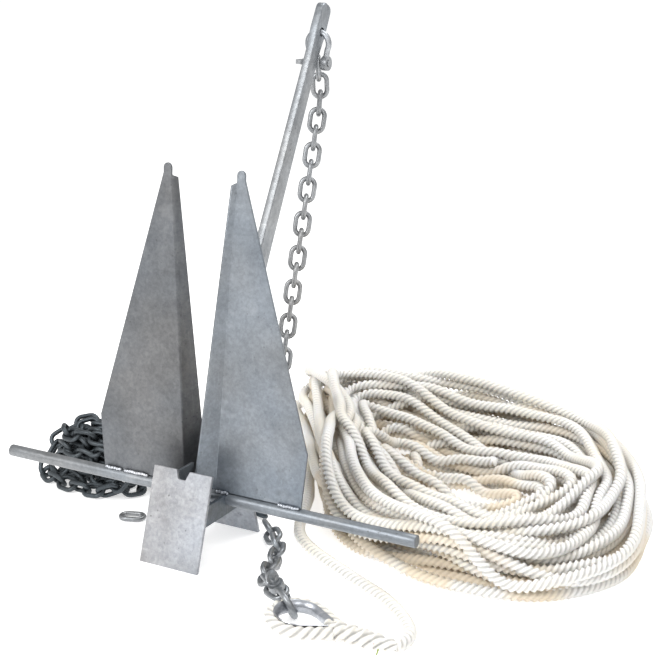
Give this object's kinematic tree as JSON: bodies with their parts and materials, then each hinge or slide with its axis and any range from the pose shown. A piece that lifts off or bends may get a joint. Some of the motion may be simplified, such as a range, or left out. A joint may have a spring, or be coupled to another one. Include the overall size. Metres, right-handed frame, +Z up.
{
  "type": "boat anchor",
  "caption": "Twin-fluke anchor whose flukes swing on the stock, with a bow shackle, hanging and piled chain, and a coiled laid rope on a thimble.",
  "frame": {"origin": "on the floor under the middle of the box round the anchor, its shackle and its hanging chain", "axes": "+X along the stock, towards the end where the rope lies; +Y the way the shank leans; +Z up. The rest pose has both palms on the floor and the shank leaning on the rear palm."},
  "size_m": [0.9515, 0.7935, 0.7067],
  "materials": {
    "zinc_plate": "hot-dip galvanised plate, mottled and scratched",
    "weld_zinc": "galvanised weld, lumpy and bright",
    "zinc_bar": "hot-dip galvanised round bar, satin",
    "zinc_shank": "hot-dip galvanised forging, pitted",
    "shackle_zinc": "galvanised forging, worn bright on the rounds",
    "chain_zinc": "galvanised wire, satin",
    "chain_zinc_dull": "galvanised wire in shade, dull",
    "thimble_zinc": "galvanised sheet, bright",
    "rope_nylon": "three-strand laid nylon, white with cream shade"
  },
  "bodies": {
    "root": {"shank": "zinc_shank", "chain_pile": "chain_zinc_dull", "chain_run_behind": "chain_zinc_dull", "stray_link": "chain_zinc", "floor_link_01": "chain_zinc", "floor_link_02": "chain_zinc", "floor_link_03": "chain_zinc", "floor_link_04": "chain_zinc", "floor_link_05": "chain_zinc", "floor_link_06": "chain_zinc", "floor_link_07": "chain_zinc", "floor_link_08": "chain_zinc", "floor_link_09": "chain_zinc", "floor_link_10": "chain_zinc", "lower_shackle_bow": "shackle_zinc", "thimble": "thimble_zinc", "rope_eye": "rope_nylon", "rope_tail": "rope_nylon", "rope_coil": "rope_nylon"},
    "fluke_assembly": {"stock": "zinc_bar", "fluke_left": "zinc_plate", "fluke_right": "zinc_plate", "palm_front": "zinc_plate", "palm_rear": "zinc_plate", "crown_web_left": "zinc_plate", "crown_web_right": "zinc_plate", "crown_cheek_front": "zinc_plate", "crown_cheek_rear": "zinc_plate", "weld_bead_left_outer": "weld_zinc", "weld_bead_left_long": "weld_zinc", "weld_bead_right_inner": "weld_zinc", "weld_bead_right_outer": "weld_zinc"},
    "upper_shackle": {"upper_shackle_bow": "shackle_zinc"},
    "upper_pin": {"upper_shackle_pin": "shackle_zinc"},
    "hanging_chain": {"chain_link_01": "chain_zinc", "chain_link_02": "chain_zinc", "chain_link_03": "chain_zinc", "chain_link_04": "chain_zinc", "chain_link_05": "chain_zinc", "chain_link_06": "chain_zinc", "chain_link_07": "chain_zinc", "chain_link_08": "chain_zinc", "chain_link_09": "chain_zinc", "chain_link_10": "chain_zinc", "chain_link_11": "chain_zinc", "chain_link_12": "chain_zinc", "chain_link_13": "chain_zinc", "chain_link_14": "chain_zinc", "chain_link_15": "chain_zinc", "chain_link_16": "chain_zinc", "chain_link_17": "chain_zinc", "chain_link_18": "chain_zinc", "chain_link_19": "chain_zinc", "chain_link_20": "chain_zinc", "chain_link_21": "chain_zinc", "chain_link_22": "chain_zinc", "chain_link_23": "chain_zinc", "chain_link_24": "chain_zinc"},
    "lower_pin": {"lower_shackle_pin": "shackle_zinc"}
  },
  "joints": [
    {"name": "fluke_swing", "type": "hinge", "parent": "root", "child": "fluke_assembly", "pos_m": [0, -0.13465, 0.0782], "axis": [1, 0, 0], "range_deg": [-57, 0]},
    {"name": "upper_shackle_swing", "type": "hinge", "parent": "root", "child": "upper_shackle", "pos_m": [0, 0.18961, 0.66679], "axis": [1, 0, 0], "range_deg": [0, 40]},
    {"name": "chain_swing", "type": "hinge", "parent": "upper_shackle", "child": "hanging_chain", "pos_m": [0, 0.18961, 0.62279], "axis": [1, 0, 0], "range_deg": [-40, 0]},
    {"name": "upper_pin_turn", "type": "hinge", "parent": "upper_shackle", "child": "upper_pin", "pos_m": [0, 0.18961, 0.62279], "axis": [1, 0, 0], "continuous": true},
    {"name": "lower_pin_turn", "type": "hinge", "parent": "root", "child": "lower_pin", "pos_m": [0.1895, -0.24615, 0.0232], "axis": [0.1772, 0.3824, -0.9068], "continuous": true}
  ],
  "couplings": [
    {"joint": "chain_swing", "follows": "upper_shackle_swing", "ratio": -1}
  ]
}
